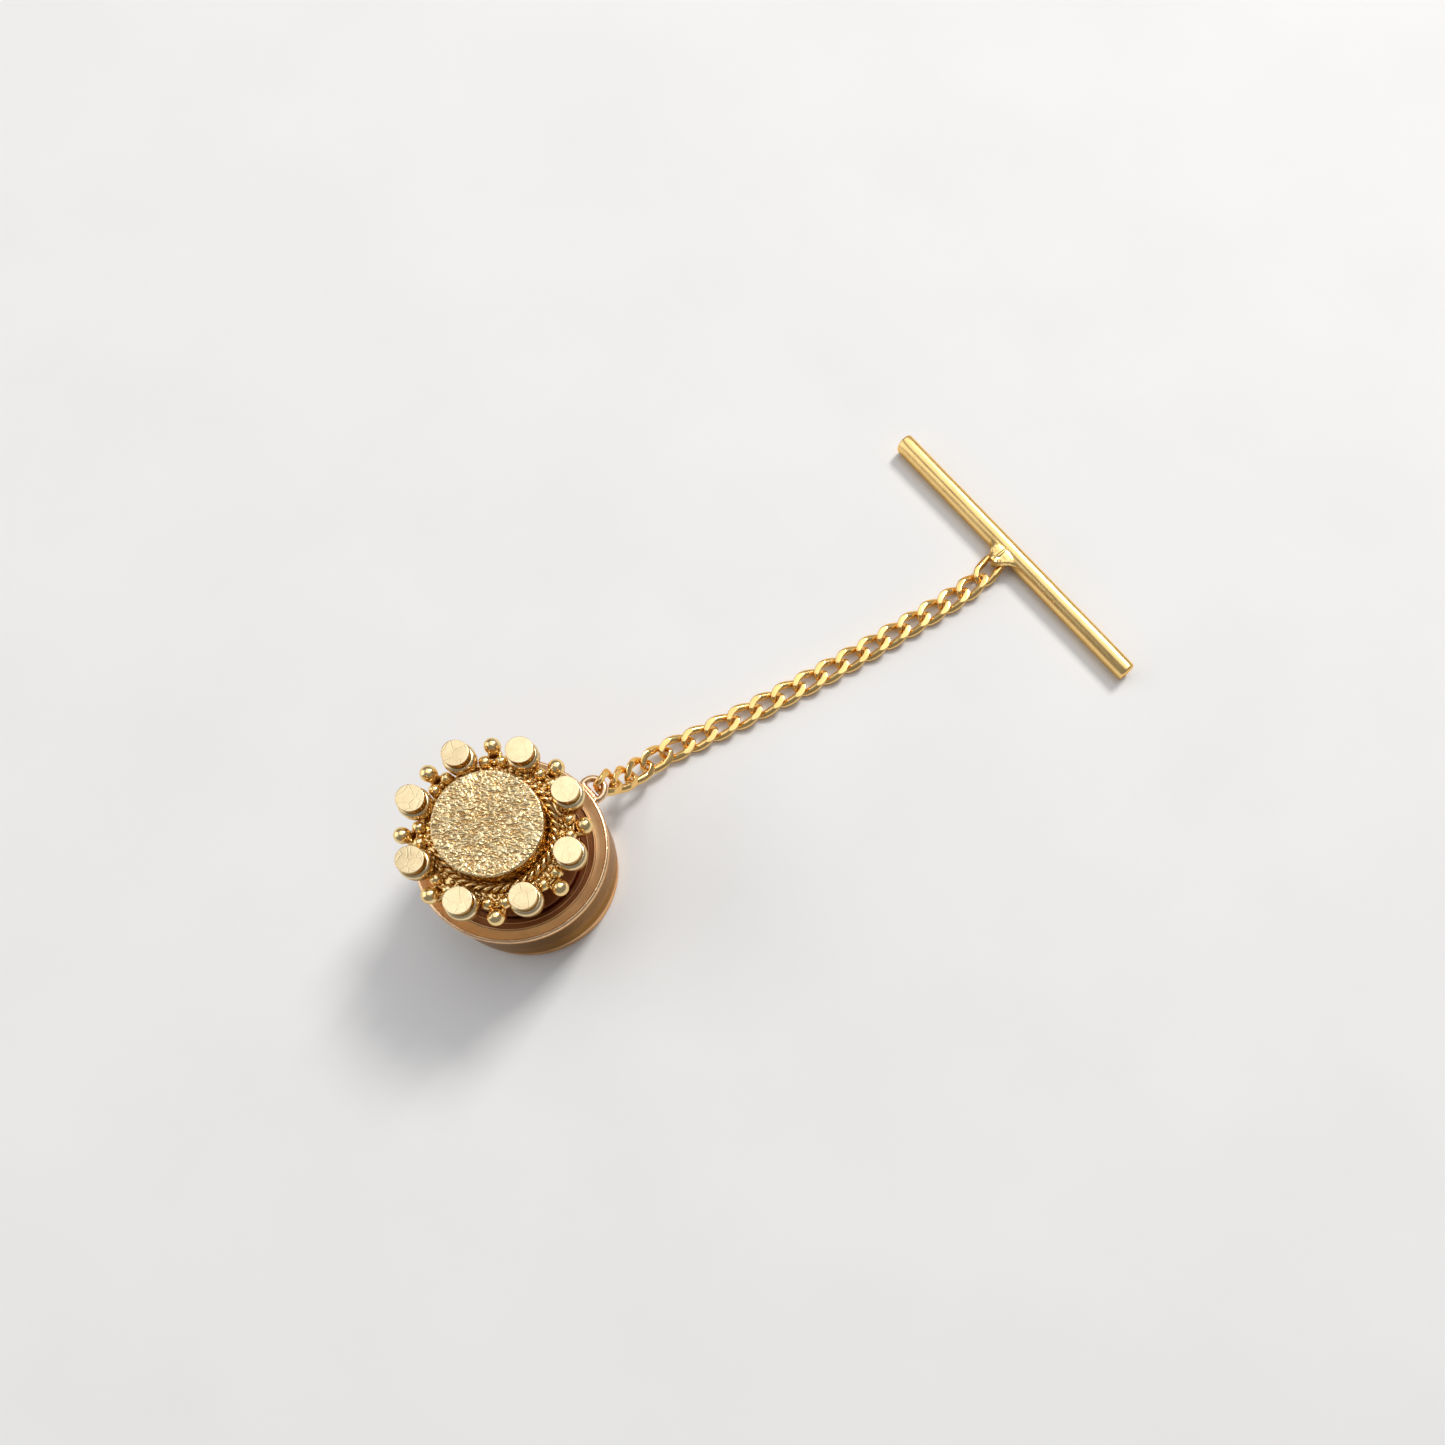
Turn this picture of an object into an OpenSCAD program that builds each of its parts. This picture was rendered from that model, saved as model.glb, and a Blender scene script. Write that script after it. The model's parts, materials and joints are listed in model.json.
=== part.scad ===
// Tie tack: a jewelled pin head on a post, a ball-lock clutch that grips the post,
// and a curb chain from the clutch to a bar that holds in a buttonhole.
// Millimetres. +Z up, the clutch stands on its pull cap at z = 0 with its axis on the
// origin, and the chain runs off along +X to the bar.

/* [Clutch] */
// Diameter of the clutch's side wall
shell_d = 9.2; // [9:0.1:9.8]
// Height from the pull cap's face to the top of the rolled rim
clutch_h = 4.4; // [4.35:0.01:4.5]
// How far the rolled rim stands out past the side wall
rim_lip = 0.1; // [0.05:0.01:0.15]
// Wall thickness of the drawn shell
shell_wall = 0.35; // [0.3:0.01:0.36]
// Thickness of the pull cap
cap_h = 0.85; // [0.75:0.01:0.9]
// Travel of the pull cap from locked to released
cap_travel = 0.45; // [0.3:0.01:0.45]

/* [Ball lock] */
// Diameter of each locking ball
ball_d = 0.72; // [0.68:0.01:0.74]
// Number of locking balls
ball_n = 3; // [3:1:3]
// Half angle of the cone that squeezes the balls
cone_angle = 16; // [14:0.5:18]
// Running gap on each side of a ball
ball_gap = 0.02; // [0.01:0.005:0.03]
// Turns of the conical spring
spring_turns = 3; // [2:0.5:3]

/* [Tack] */
// Diameter of the post
post_d = 0.95; // [0.9:0.01:1]
// Height of the head's back face above the table
head_z = 6.15; // [6:0.05:6.5]
// Number of flat-topped studs round the head
petals = 8; // [8:1:8]
// Angle of the first stud from the chain's direction
petal_phase = -5; // [-22:1:22]
// Radius of the circle of studs
petal_ring_r = 3.73; // [3.7:0.01:3.78]
// Diameter of a stud's flat top
stud_d = 1.3; // [1.2:0.01:1.36]
// Diameter of the outer balls between the studs
bead_d = 0.8; // [0.7:0.01:0.82]
// Radius of the circle of outer balls
bead_ring_r = 4.09; // [4.05:0.01:4.12]
// Diameter of the textured centre
drum_d = 5; // [4.95:0.05:5.05]

/* [Chain] */
// Number of curb links
links = 20; // [20:1:20]
// Distance from one link to the next
link_pitch = 1.39; // [1.38:0.01:1.4]
// Outer length of a link
link_l = 2.16; // [2.15:0.01:2.18]
// Outer width of a link
link_w = 1.28; // [1.26:0.01:1.3]
// Thickness of the link wire
link_wire = 0.33; // [0.3:0.01:0.34]
// Twist of a link's plane from its middle to its end
link_twist = 47; // [45:1:50]

/* [Bar] */
// Length of the bar
bar_l = 18.9; // [18:0.1:20]
// Diameter of the bar
bar_d = 1.1; // [1:0.01:1.15]
// Angle of the bar from the +X axis
bar_angle = 100; // [95:1:105]
// How far the eye is soldered from the bar's middle
bar_offset = 0.45; // [0:0.05:0.8]

/* [Hidden] */
$fn = 64;

// Colours
rose = [0.80, 0.56, 0.36];
dark_rose = [0.52, 0.30, 0.17];
pale_gold = [0.93, 0.79, 0.47];
leaf_gold = [0.87, 0.70, 0.33];
chain_gold = [0.90, 0.70, 0.22];
steel = [0.70, 0.70, 0.72];

// Clutch levels and radii
shell_r = shell_d / 2;
shell_bore = shell_r - shell_wall;
shell_z = 1.05;
crimp_r = shell_bore - 0.3;
crimp_t = 0.15;
washer_z = clutch_h - 0.98;
washer_t = 0.3;
washer_bore = 3.55;
seat_z = 2.65;
seat_r = shell_bore - 0.15;
seat_flange_t = 0.65;
hub_r = 3.25;
hub_z = clutch_h - 0.6;
sleeve_z = shell_z + crimp_t + 0.05;
sleeve_wall = 0.3;
retainer_t = 0.15;
retainer_bore = 1.2;
cap_r = shell_r - 0.1;
cap_round = 0.2;
cap_floor = 0.45;
edge = 0.05;

// Post and ball lock
post_r = post_d / 2;
post_tip_z = 0.72;
post_point = 0.9;
hole_r = post_r + 0.125;
ball_r = ball_d / 2;
ball_x = post_r + ball_gap + ball_r;
ball_z = 3.05;
ball_phase = 30;
cone_at_ball = ball_x + (ball_r + ball_gap) / cos(cone_angle);
cone_top_z = 3.58;
cage_r = 0.95;
cage_top_z = 3.5;
window_r = ball_r + 0.03;
flange_r = 2;
flange_t = 0.23;
spring_pressed_h = 0.5;
flange_z = sleeve_z + retainer_t + spring_pressed_h + cap_travel;
spring_wire = 0.2;
spring_low_r = 2.9;
spring_high_r = 1.5;
fit_gap = 0.01;

// Chain ring on the shell's side
ring_angle = 10;
ring_wire = 0.36;
ring_r = 0.58;
ring_reach = 5.55;
ring_flare = 0.16;
ring_flare_l = 0.3;
ring_sunk = 0.1;

// Head levels
pad_t = 0.2;
pad_r = 1.1;
pad_taper = 0.15;
back_t = 0.35;
back_r = 2.95;
rosette_z = head_z + back_t;
rosette_t = 0.45;
rosette_top = rosette_z + rosette_t;
foot_r = 0.76;
foot_h = 0.85;
stud_h = 0.5;
lobe_r = 0.53;
stud_edge = 0.06;
bead_r = bead_d / 2;
grain_r = 0.3;
grain_ring_r = 3.38;
grain_side = 0.38;
bead_sink = 0.05;
rope_r = 0.2;
rope_ring_r = 2.71;
drum_r = drum_d / 2;
drum_h = 1.25;
disc_t = 0.3;
disc_round = 0.08;

// Chain route: the slopes of the links that hang from the ring, then a shallow bow
hang_slopes = [60, 47, 33, 19, 6];
hang_yaws = [10, 20, 20, 12, -3];
hang_rolls = [40, 42, 32, 22, 11];
bow_yaw = 3.4;
last_yaw = 18;
near_last_yaw = 8;
rise_step = 2;
first_near_twist = 50;
last_near_twist = 30;
last_far_twist = 0;
near_last_roll = -8;
first_flat = len(hang_slopes) + 1;
flat_z = 0.385;
link_rings = 28;
link_sides = 6;
link_a = (link_l - link_wire) / 2;
link_b = (link_w - link_wire) / 2;
bow_back = link_a - link_pitch / 2;
eye_wire = 0.27;
eye_gap = 0.06;
eye_r = 0.41;
eye_pin = 0.13;
eye_x = bar_d / 2 + eye_gap + link_wire / 2 + bow_back + eye_pin;
bar_round = 0.08;
bar_waist = 0.05;
bar_waist_l = 2.3;

// ---- Chain geometry ----

function slope(k) =
    k < first_flat ? hang_slopes[k - 1] :
    k > links - 2 ? -rise_step * (k - links + 2) : 0;
function bow(k) = bow_yaw * (2 * (k - first_flat) / (links - 1 - first_flat) - 1);
function yaw(k) =
    k < first_flat ? hang_yaws[k - 1] :
    k == links ? last_yaw :
    k == links - 1 ? near_last_yaw : bow(k);
function roll(k) =
    k <= len(hang_rolls) ? hang_rolls[k - 1] :
    k == links - 1 ? near_last_roll : 0;
function heading(k) =
    [cos(yaw(k)) * cos(slope(k)), sin(yaw(k)) * cos(slope(k)), -sin(slope(k))];

// The ring stands as high as the hanging links reach down to the table
function drop(k) = k == 0 ? 0 : drop(k - 1) + link_pitch * sin(slope(k));
ring_z = flat_z + drop(len(hang_slopes)) - sin(slope(1)) * link_wire / 2;
ring_tip = [ring_reach * cos(ring_angle), ring_reach * sin(ring_angle), ring_z];

// Where the ring's wire holds the first link, and where link k holds link k + 1
function joint_point(k) = k == 0 ?
    ring_tip - heading(1) * link_wire / 2 :
    joint_point(k - 1) + heading(k) * link_pitch;
function link_centre(k) = (joint_point(k - 1) + joint_point(k)) / 2;

// A point a fraction u of the way round an oval link, lying flat and untwisted
side_l = 2 * (link_a - link_b);
bow_l = PI * link_b;
oval_l = 2 * (side_l + bow_l);
function oval(u) =
    let (s = u * oval_l, h = side_l / 2)
    s < side_l ? [s - h, -link_b] :
    s < side_l + bow_l ? let (t = (s - side_l) / bow_l * 180)
        [h + link_b * sin(t), -link_b * cos(t)] :
    s < 2 * side_l + bow_l ? [h - (s - side_l - bow_l), link_b] :
    let (t = (s - 2 * side_l - bow_l) / bow_l * 180)
        [-h - link_b * sin(t), link_b * cos(t)];

// The same point with the link's plane twisted about its long axis
function twist_at(x, near, far) = x < 0 ? -near * x / link_a : -far * x / link_a;
function twisted(u, near, far) =
    let (p = oval(u), w = twist_at(p[0], near, far))
    [p[0], p[1] * cos(w), p[1] * sin(w)];
function unit(v) = v / norm(v);
function section(u, near, far) =
    let (
        step = 0.002,
        p = twisted(u, near, far),
        along = unit(twisted((u + step) % 1, near, far) - p),
        w = twist_at(p[0], near, far),
        up = [0, -sin(w), cos(w)],
        out = unit(cross(along, up)),
        over = cross(out, along)
    )
    [for (j = [0 : link_sides - 1])
        let (t = (j + 0.5) * 360 / link_sides)
        p + link_wire / 2 * (cos(t) * out + sin(t) * over)];

module curb_link(near, far) {
    points = [for (i = [0 : link_rings - 1]) each section(i / link_rings, near, far)];
    faces = [for (i = [0 : link_rings - 1], j = [0 : link_sides - 1])
        let (
            i2 = (i + 1) % link_rings,
            j2 = (j + 1) % link_sides
        )
        [i * link_sides + j, i * link_sides + j2, i2 * link_sides + j2, i2 * link_sides + j]];
    polyhedron(points, faces, convexity = 4);
}

// Link k in its place, rolled about its long axis: the end in the ring stands on edge and
// the last link lies flatter in the eye, so the links next to them share the turn
module chain_link(k) {
    near = k == 1 ? first_near_twist : k == links ? last_near_twist : link_twist;
    far = k == links ? last_far_twist : link_twist;
    color(chain_gold)
        translate(link_centre(k))
        rotate([roll(k), slope(k), yaw(k)])
        curb_link(near, far);
}

// ---- Clutch ----

module clutch_shell() {
    rim_r = shell_r + rim_lip;
    rim_round = 0.13;
    rim_drop = 0.14;
    rim_h = 0.45;
    foot_z = clutch_h - rim_h;
    color(rose)
    rotate_extrude($fn = 128)
        union() {
            difference() {
                translate([crimp_r, shell_z])
                    square([shell_r - crimp_r, foot_z - shell_z]);
                translate([0, shell_z + crimp_t])
                    square([shell_bore, clutch_h]);
            }
            polygon([
                [shell_bore, foot_z],
                [shell_r, foot_z],
                [rim_r, foot_z + rim_lip],
                [rim_r, clutch_h - rim_round],
                [rim_r - rim_round, clutch_h],
                [shell_bore, clutch_h - rim_drop]
            ]);
            translate([rim_r - rim_round, clutch_h - rim_round])
                circle(rim_round, $fn = 48);
        }
}

// Flat floor with an upturned outer edge: the rim's slope carried on, then a narrow step
module front_washer() {
    top_z = clutch_h - 0.16;
    step_z = clutch_h - 0.27;
    slope_w = 0.22;
    step_w = 0.06;
    lip_w = slope_w + step_w + edge;
    floor_z = washer_z + washer_t;
    color(dark_rose)
    rotate_extrude($fn = 128)
        polygon([
            [washer_bore, washer_z],
            [shell_bore, washer_z],
            [shell_bore, top_z],
            [shell_bore - slope_w, step_z],
            [shell_bore - slope_w - step_w, step_z],
            [shell_bore - lip_w, step_z - edge],
            [shell_bore - lip_w, floor_z],
            [washer_bore + edge, floor_z],
            [washer_bore, floor_z - edge]
        ]);
}

module chain_ring() {
    wire_r = ring_wire / 2;
    centre_x = ring_reach - ring_r;
    foot_x = shell_r - ring_sunk;
    color(rose)
    rotate([0, 0, ring_angle])
    translate([0, 0, ring_z]) {
        translate([centre_x, 0, 0])
            rotate([0, 0, -90])
            rotate_extrude(angle = 180)
            translate([ring_r, 0])
            circle(wire_r, $fn = 32);
        for (side = [-1, 1])
            translate([foot_x, side * ring_r, 0])
            rotate([0, 90, 0]) {
                cylinder(r = wire_r, h = centre_x - foot_x);
                cylinder(r1 = wire_r + ring_flare, r2 = wire_r, h = ring_flare_l);
            }
    }
}

module ball_seat() {
    low_r = cone_at_ball + (ball_z - seat_z) * tan(cone_angle);
    high_r = cone_at_ball - (cone_top_z - ball_z) * tan(cone_angle);
    lead = 0.12;
    color(dark_rose)
    rotate_extrude($fn = 96)
        polygon([
            [low_r, seat_z],
            [seat_r, seat_z],
            [seat_r, seat_z + seat_flange_t],
            [hub_r, seat_z + seat_flange_t],
            [hub_r, hub_z - edge],
            [hub_r - edge, hub_z],
            [hole_r + lead, hub_z],
            [hole_r, hub_z - lead],
            [hole_r, cone_top_z],
            [high_r, cone_top_z]
        ]);
}

module core_sleeve() {
    color(rose)
    translate([0, 0, sleeve_z])
    difference() {
        cylinder(r = seat_r, h = seat_z - sleeve_z);
        translate([0, 0, -1])
            cylinder(r = seat_r - sleeve_wall, h = seat_z);
    }
}

module spring_retainer() {
    color(steel)
    translate([0, 0, sleeve_z])
    difference() {
        cylinder(r = seat_r - sleeve_wall - fit_gap, h = retainer_t);
        translate([0, 0, -1])
            cylinder(r = retainer_bore, h = retainer_t + 2);
    }
}

module clutch_spring() {
    sides = 6;
    per_turn = 16;
    count = spring_turns * per_turn;
    low = sleeve_z + retainer_t + spring_wire / 2 + fit_gap;
    high = flange_z - spring_wire / 2 - fit_gap;
    points = [for (i = [0 : count], j = [0 : sides - 1])
        let (
            f = i / count,
            a = i * 360 / per_turn,
            t = j * 360 / sides,
            r = spring_low_r + (spring_high_r - spring_low_r) * f + spring_wire / 2 * cos(t)
        )
        [r * cos(a), r * sin(a), low + (high - low) * f + spring_wire / 2 * sin(t)]];
    skin = [for (i = [0 : count - 1], j = [0 : sides - 1])
        let (j2 = (j + 1) % sides)
        [i * sides + j, i * sides + j2, (i + 1) * sides + j2, (i + 1) * sides + j]];
    ends = [
        [for (j = [sides - 1 : -1 : 0]) j],
        [for (j = [0 : sides - 1]) count * sides + j]
    ];
    color(steel)
    polyhedron(points, concat(skin, ends), convexity = 6);
}

module pull_cap() {
    color(rose)
    difference() {
        rotate_extrude($fn = 128)
            union() {
                square([cap_r - cap_round, cap_h]);
                translate([0, cap_round])
                    square([cap_r, cap_h - 2 * cap_round]);
                for (z = [cap_round, cap_h - cap_round])
                    translate([cap_r - cap_round, z])
                    circle(cap_round, $fn = 32);
            }
        translate([0, 0, cap_floor])
            cylinder(r = cage_r, h = cap_h);
    }
}

module ball_cage() {
    color(steel)
    difference() {
        union() {
            translate([0, 0, cap_floor])
                cylinder(r = cage_r, h = cage_top_z - cap_floor);
            translate([0, 0, flange_z])
                cylinder(r = flange_r, h = flange_t);
        }
        translate([0, 0, -1])
            cylinder(r = hole_r, h = clutch_h + 2);
        for (i = [0 : ball_n - 1])
            rotate([0, 0, ball_phase + i * 360 / ball_n])
            translate([0, 0, ball_z])
            rotate([0, 90, 0])
            cylinder(r = window_r, h = cage_r + 1, $fn = 32);
    }
}

module lock_ball(i) {
    color(steel)
    rotate([0, 0, ball_phase + i * 360 / ball_n])
        translate([ball_x, 0, ball_z])
        sphere(ball_r, $fn = 32);
}

// ---- Tack ----

// Plain post with a tapered point and one shallow groove above it
module post() {
    tip_r = 0.06;
    shoulder = 0.1;
    notch_z = post_tip_z + post_point + 0.35;
    notch = 0.07;
    top_z = head_z - pad_t;
    color(pale_gold)
    rotate_extrude($fn = 48)
        polygon([
            [0, post_tip_z],
            [tip_r, post_tip_z + tip_r / 2],
            [post_r - edge, post_tip_z + post_point - shoulder],
            [post_r, post_tip_z + post_point],
            [post_r, notch_z],
            [post_r - notch, notch_z + notch],
            [post_r - notch, notch_z + 2 * notch],
            [post_r, notch_z + 3 * notch],
            [post_r, top_z],
            [0, top_z]
        ]);
}

module post_pad() {
    color(pale_gold)
    translate([0, 0, head_z - pad_t])
        cylinder(r1 = pad_r - pad_taper, r2 = pad_r, h = pad_t);
}

module back_plate() {
    color(leaf_gold)
    translate([0, 0, head_z])
        cylinder(r = back_r, h = back_t);
}

// Openwork plate: a lobe under each stud, an arm under each outer ball, holes between
module rosette() {
    web_r = petal_ring_r - 0.35;
    arm_w = 0.62;
    arm_start = web_r - 0.1;
    pad_under_bead_r = bead_r - 0.06;
    slot_r = 0.15;
    slot_ring_r = grain_ring_r + 0.32;
    color(leaf_gold)
    translate([0, 0, rosette_z])
    linear_extrude(rosette_t)
        difference() {
            union() {
                circle(web_r, $fn = 96);
                for (i = [0 : petals - 1])
                    rotate(petal_phase + i * 360 / petals) {
                        translate([petal_ring_r, 0])
                            circle(lobe_r, $fn = 48);
                        rotate(180 / petals)
                            translate([arm_start, -arm_w / 2])
                            square([bead_ring_r - arm_start, arm_w]);
                        rotate(180 / petals)
                            translate([bead_ring_r, 0])
                            circle(pad_under_bead_r, $fn = 32);
                    }
            }
            for (i = [0 : petals - 1])
                rotate(petal_phase + (i + 0.5) * 360 / petals)
                translate([slot_ring_r, 0])
                circle(slot_r, $fn = 24);
        }
}

module rope_ring() {
    color(leaf_gold)
    translate([0, 0, rosette_top + rope_r])
        rotate_extrude($fn = 96)
        translate([rope_ring_r, 0])
        circle(rope_r, $fn = 24);
}

module drum() {
    color(leaf_gold)
    translate([0, 0, rosette_top])
        cylinder(r = drum_r - edge, h = drum_h, $fn = 96);
}

module centre_disc() {
    color(pale_gold)
    translate([0, 0, rosette_top + drum_h])
        rotate_extrude($fn = 96)
        union() {
            square([drum_r - disc_round, disc_t]);
            square([drum_r, disc_t - disc_round]);
            translate([drum_r - disc_round, disc_t - disc_round])
                circle(disc_round, $fn = 24);
        }
}

// Flat-topped stud on its wider round foot, which narrows below; stud i of the ring
module petal_stud(i) {
    foot_round = 0.2;
    foot_taper_h = 0.35;
    stud_r = stud_d / 2;
    color(pale_gold)
    rotate([0, 0, petal_phase + i * 360 / petals])
        translate([petal_ring_r, 0, rosette_top])
        rotate_extrude($fn = 48)
        union() {
            polygon([
                [0, 0],
                [lobe_r, 0],
                [foot_r, foot_taper_h],
                [foot_r, foot_h - foot_round],
                [foot_r - foot_round, foot_h],
                [0, foot_h]
            ]);
            translate([foot_r - foot_round, foot_h - foot_round])
                circle(foot_round, $fn = 32);
            translate([0, foot_h])
                polygon([
                    [0, 0],
                    [stud_r, 0],
                    [stud_r, stud_h - stud_edge],
                    [stud_r - stud_edge, stud_h],
                    [0, stud_h]
                ]);
        }
}

// One outer ball and two smaller grains between studs i and i + 1
module bead_trio(i) {
    color(leaf_gold)
    rotate([0, 0, petal_phase + (i + 0.5) * 360 / petals])
        translate([0, 0, rosette_top - bead_sink]) {
            translate([bead_ring_r, 0, bead_r])
                sphere(bead_r, $fn = 32);
            for (side = [-1, 1])
                translate([grain_ring_r, side * grain_side, grain_r])
                sphere(grain_r, $fn = 32);
        }
}

// ---- Bar ----

// The eye's own frame: origin on the bar's axis, +X away from the chain, Y along the bar
module at_bar() {
    last = joint_point(links);
    lug = [cos(bar_angle - 90), sin(bar_angle - 90), 0];
    centre = [last[0], last[1], bar_d / 2] + lug * (eye_x - eye_pin);
    translate(centre)
        rotate([0, 0, bar_angle - 90])
        children();
}

// Round bar, dressed very slightly thinner where the eye is soldered
module t_bar() {
    bar_r = bar_d / 2;
    end_1 = bar_offset - bar_l / 2;
    end_2 = bar_offset + bar_l / 2;
    waist = bar_waist_l / 2;
    color(chain_gold)
    at_bar()
        rotate([90, 0, 0])
        rotate_extrude($fn = 64)
        polygon([
            [0, end_1],
            [bar_r - bar_round, end_1],
            [bar_r, end_1 + bar_round],
            [bar_r, -waist],
            [bar_r - bar_waist, 0],
            [bar_r, waist],
            [bar_r, end_2 - bar_round],
            [bar_r - bar_round, end_2],
            [0, end_2]
        ]);
}

// Wire eye standing on edge beside the bar, under a tapered web
module bar_eye() {
    wire_r = eye_wire / 2;
    leg_l = 0.4;
    web_z = 0.2;
    web_t = 0.2;
    root = [0.35, 1];
    neck = [0.62, 0.6];
    tip = [eye_x - 0.1, 0.12];
    color(chain_gold)
    at_bar() {
        translate([eye_r - eye_x, 0, 0])
            rotate([90, 0, 0])
            rotate([0, 0, 90])
            rotate_extrude(angle = 180)
            translate([eye_r, 0])
            circle(wire_r, $fn = 32);
        for (side = [-1, 1])
            translate([eye_r - eye_x, 0, side * eye_r])
            rotate([0, 90, 0])
            cylinder(r = wire_r, h = leg_l);
        translate([0, 0, web_z])
            linear_extrude(web_t)
            polygon([
                [-root[0], -root[1]],
                [-neck[0], -neck[1]],
                [-tip[0], -tip[1]],
                [-tip[0], tip[1]],
                [-neck[0], neck[1]],
                [-root[0], root[1]]
            ]);
    }
}

clutch_shell();
front_washer();
chain_ring();
ball_seat();
core_sleeve();
spring_retainer();
clutch_spring();
pull_cap();
ball_cage();
lock_ball(0);  // ball_1
lock_ball(1);  // ball_2
lock_ball(2);  // ball_3
post();
post_pad();
back_plate();
rosette();
rope_ring();
drum();
centre_disc();
petal_stud(0);  // petal_stud_1
petal_stud(1);  // petal_stud_2
petal_stud(2);  // petal_stud_3
petal_stud(3);  // petal_stud_4
petal_stud(4);  // petal_stud_5
petal_stud(5);  // petal_stud_6
petal_stud(6);  // petal_stud_7
petal_stud(7);  // petal_stud_8
bead_trio(0);  // bead_trio_1
bead_trio(1);  // bead_trio_2
bead_trio(2);  // bead_trio_3
bead_trio(3);  // bead_trio_4
bead_trio(4);  // bead_trio_5
bead_trio(5);  // bead_trio_6
bead_trio(6);  // bead_trio_7
bead_trio(7);  // bead_trio_8
chain_link(1);  // link_01
chain_link(2);  // link_02
chain_link(3);  // link_03
chain_link(4);  // link_04
chain_link(5);  // link_05
chain_link(6);  // link_06
chain_link(7);  // link_07
chain_link(8);  // link_08
chain_link(9);  // link_09
chain_link(10);  // link_10
chain_link(11);  // link_11
chain_link(12);  // link_12
chain_link(13);  // link_13
chain_link(14);  // link_14
chain_link(15);  // link_15
chain_link(16);  // link_16
chain_link(17);  // link_17
chain_link(18);  // link_18
chain_link(19);  // link_19
chain_link(20);  // link_20
t_bar();
bar_eye();
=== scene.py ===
"""Looks of the tie tack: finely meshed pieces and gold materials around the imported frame."""

import bpy
import json
import math
import random
import numpy as np
from mathutils import Euler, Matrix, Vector, noise


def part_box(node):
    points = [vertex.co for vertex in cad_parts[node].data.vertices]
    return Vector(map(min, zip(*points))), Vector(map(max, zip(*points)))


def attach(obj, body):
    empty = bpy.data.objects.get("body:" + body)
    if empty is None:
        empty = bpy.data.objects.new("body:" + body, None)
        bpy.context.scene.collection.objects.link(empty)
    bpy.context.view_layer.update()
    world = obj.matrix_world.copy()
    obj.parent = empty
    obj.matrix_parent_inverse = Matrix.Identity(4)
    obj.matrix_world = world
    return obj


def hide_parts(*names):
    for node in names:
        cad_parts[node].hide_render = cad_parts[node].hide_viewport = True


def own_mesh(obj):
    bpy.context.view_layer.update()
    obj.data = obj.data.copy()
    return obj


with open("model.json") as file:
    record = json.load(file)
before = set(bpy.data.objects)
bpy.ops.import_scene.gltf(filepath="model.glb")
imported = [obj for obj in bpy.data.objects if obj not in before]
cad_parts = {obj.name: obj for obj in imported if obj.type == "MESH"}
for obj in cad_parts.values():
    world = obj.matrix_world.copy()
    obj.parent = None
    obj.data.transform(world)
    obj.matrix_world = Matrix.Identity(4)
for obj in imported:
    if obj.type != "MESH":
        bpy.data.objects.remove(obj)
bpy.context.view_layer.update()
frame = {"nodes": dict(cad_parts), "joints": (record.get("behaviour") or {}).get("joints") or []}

# Blender's noise is seeded from the clock unless a seed is set
noise.seed_set(1)

MM = 0.001
TURN = 2 * math.pi
AXIS_R = 0.001
LINKS = 20
PETALS = 8


# ---- Reading the frame ----

def node_box(name):
    """Lowest and highest corner of a CAD node, in millimetres."""
    low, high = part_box(name)
    return np.array(low) / MM, np.array(high) / MM


def top(name):
    """Height of a node's top, in millimetres."""
    return node_box(name)[1][2]


def bottom(name):
    """Height of a node's underside, in millimetres."""
    return node_box(name)[0][2]


def radius(name):
    """Outer radius of a node that is round about the post's axis."""
    low, high = node_box(name)
    return float(high[0] - low[0]) / 2


def joint(child):
    """The joint that carries a body."""
    return next(j for j in frame["joints"] if j["child"] == child)


def joint_point(child):
    """Where a body's joint is, in millimetres."""
    return np.array(joint(child)["pos_m"]) / MM


# ---- Mesh helpers, all in millimetres ----

def lathe(profile, segments):
    """Turns a closed outline of (radius, z) points about the Z axis."""
    points = []
    faces = []
    count = len(profile)
    for s in range(segments):
        a = TURN * s / segments
        for r, z in profile:
            points.append((r * math.cos(a), r * math.sin(a), z))
    for s in range(segments):
        near, far = s * count, (s + 1) % segments * count
        for i in range(count):
            j = (i + 1) % count
            faces.append((near + i, far + i, far + j, near + j))
    return points, faces


def arc(centre, r, start, end, steps):
    """Points of a circular arc in a profile, angles in degrees."""
    angles = [math.radians(start + (end - start) * i / steps) for i in range(steps + 1)]
    return [(centre[0] + r * math.cos(a), centre[1] + r * math.sin(a)) for a in angles]


def sweep(sections, closed=False):
    """Joins rings of points into a tube, capped at its ends unless it is closed."""
    count = len(sections)
    sides = len(sections[0])
    points = [tuple(p) for ring in sections for p in ring]
    faces = []
    for i in range(count if closed else count - 1):
        near, far = i * sides, (i + 1) % count * sides
        for j in range(sides):
            k = (j + 1) % sides
            faces.append((near + j, near + k, far + k, far + j))
    if not closed:
        faces.append(tuple(reversed(range(sides))))
        faces.append(tuple(range((count - 1) * sides, count * sides)))
    return points, faces


def wire(path, radii, sides=16, closed=False, up=(0, 0, 1)):
    """A round wire along a path; radii is one radius or one for each point."""
    path = np.array(path, float)
    count = len(path)
    if np.isscalar(radii):
        radii = np.full(count, radii)
    if closed:
        along = np.roll(path, -1, 0) - np.roll(path, 1, 0)
    else:
        along = np.gradient(path, axis=0)
    along /= np.linalg.norm(along, axis=1)[:, None]
    side = np.cross(along, np.array(up, float))
    side /= np.linalg.norm(side, axis=1)[:, None]
    over = np.cross(side, along)
    angles = [TURN * j / sides for j in range(sides)]
    sections = [
        [path[i] + radii[i] * (math.cos(a) * side[i] + math.sin(a) * over[i]) for a in angles]
        for i in range(count)
    ]
    return sweep(sections, closed)


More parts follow.
